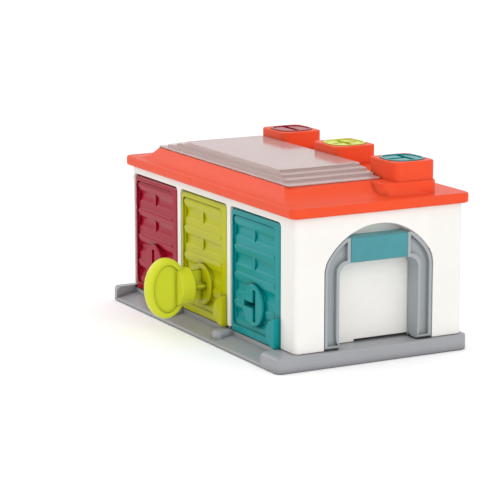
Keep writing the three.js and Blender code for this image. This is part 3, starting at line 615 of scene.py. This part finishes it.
def area_lamp(name, place, target, size, power):
    """A square soft lamp that looks at a point."""
    lamp = bpy.data.lights.new(name, "AREA")
    lamp.size = size
    lamp.energy = power
    aim(bpy.data.objects.new(name, lamp), place, target)


def background_rays(tree):
    """One for the rays that show the background: the camera's, and those off gloss and through glass."""
    path = tree.nodes.new("ShaderNodeLightPath")
    share = path.outputs["Is Camera Ray"]
    for kind in ("Is Glossy Ray", "Is Transmission Ray"):
        either = tree.nodes.new("ShaderNodeMath")
        either.operation = "MAXIMUM"
        tree.links.new(share, either.inputs[0])
        tree.links.new(path.outputs[kind], either.inputs[1])
        share = either.outputs["Value"]
    return share


def floor_material():
    """A pale floor that keeps the object's shadow and meets the white background."""
    surface = Surface("studio_floor")
    mottle = surface.spread(surface.noise(FLOOR_MOTTLE), low=0.995, high=1.0)
    seen = surface.add("ShaderNodeMath", {"operation": "MULTIPLY"})
    surface.put(seen.inputs[0], background_rays(surface.tree))
    seen.inputs[1].default_value = FLOOR_GLOW
    return surface.finish(
        Base_Color=surface.tint(FLOOR_SHADE, mottle),
        Roughness=0.9,
        Specular_IOR_Level=0.0,
        Emission_Color=WHITE,
        Emission_Strength=seen.outputs["Value"],
    )


def studio_floor():
    """A wide floor just under the object's feet."""
    shape = bmesh.new()
    bmesh.ops.create_grid(shape, x_segments=1, y_segments=1, size=FLOOR_HALF)
    bmesh.ops.translate(shape, verts=shape.verts, vec=(0.0, 0.0, -FLOOR_DROP))
    mesh = bpy.data.meshes.new("studio_floor")
    shape.to_mesh(mesh)
    shape.free()
    mesh.materials.append(floor_material())
    floor = bpy.data.objects.new("studio_floor", mesh)
    bpy.context.scene.collection.objects.link(floor)


def studio_world(ambient):
    """White to the camera and in reflections, and a level soft light for the rest."""
    world = bpy.data.worlds.new("studio")
    world.use_nodes = True
    tree = world.node_tree
    back = tree.nodes["Background"]
    back.inputs["Color"].default_value = WHITE
    level = tree.nodes.new("ShaderNodeMapRange")
    level.inputs["To Min"].default_value = ambient
    level.inputs["To Max"].default_value = 1.0
    tree.links.new(background_rays(tree), level.inputs["Value"])
    tree.links.new(level.outputs["Result"], back.inputs["Strength"])
    bpy.context.scene.world = world


def studio_camera(studio):
    """The camera at the photograph's viewing angle."""
    camera = bpy.data.cameras.new("camera")
    camera.lens = studio.lens
    camera.sensor_width = SENSOR_WIDTH
    camera.clip_end = VIEW_DEPTH
    holder = bpy.data.objects.new("camera", camera)
    aim(holder, studio.eye, studio.target)
    bpy.context.scene.camera = holder


class GARAGE_OT_stage(bpy.types.Operator):
    """Sets the floor, the soft lamps and the camera"""

    bl_idname = "garage.stage"
    bl_label = "Studio"
    bl_options = {"REGISTER", "UNDO"}

    def execute(self, context):
        """Builds the studio round the garage."""
        studio = context.scene.garage_studio
        studio_floor()
        studio_world(studio.ambient)
        area_lamp("key_lamp", studio.key_place, studio.middle, studio.key_size, studio.key_power)
        area_lamp("fill_lamp", studio.fill_place, studio.middle, studio.fill_size, studio.fill_power)
        studio_camera(studio)
        context.scene.view_settings.view_transform = "Standard"
        return {"FINISHED"}


class GARAGE_PT_panel(bpy.types.Panel):
    """Lists the garage's settings and operators."""

    bl_label = "Toy garage"
    bl_idname = "GARAGE_PT_panel"
    bl_space_type = "VIEW_3D"
    bl_region_type = "UI"
    bl_category = "Garage"

    def draw(self, context):
        """Draws the settings, then a button for each operator."""
        layout = self.layout
        for name in GROUPS:
            group = getattr(context.scene, name)
            box = layout.box()
            for key in group.__annotations__:
                box.prop(group, key)
        for operator in OPERATORS:
            layout.operator(operator.bl_idname)


GROUPS = {
    "garage_colours": GarageColours,
    "garage_surfaces": GarageSurfaces,
    "garage_studio": GarageStudio,
}
OPERATORS = (
    GARAGE_OT_base,
    GARAGE_OT_walls,
    GARAGE_OT_roof,
    GARAGE_OT_skylight,
    GARAGE_OT_doors,
    GARAGE_OT_handle,
    GARAGE_OT_fasteners,
    GARAGE_OT_stage,
)
CLASSES = (*GROUPS.values(), *OPERATORS, GARAGE_PT_panel)


def register():
    """Registers the classes and hangs the settings on the scene."""
    for cls in CLASSES:
        bpy.utils.register_class(cls)
    for name, group in GROUPS.items():
        setattr(bpy.types.Scene, name, bpy.props.PointerProperty(type=group))


def unregister():
    """Takes the settings and the classes away again."""
    for name in GROUPS:
        delattr(bpy.types.Scene, name)
    for cls in reversed(CLASSES):
        bpy.utils.unregister_class(cls)


def main():
    """Builds everything in order."""
    register()
    bpy.ops.garage.base()
    bpy.ops.garage.walls()
    bpy.ops.garage.roof()
    bpy.ops.garage.skylight()
    bpy.ops.garage.doors()
    bpy.ops.garage.handle()
    bpy.ops.garage.fasteners()
    bpy.ops.garage.stage()


if __name__ == "__main__":
    main()
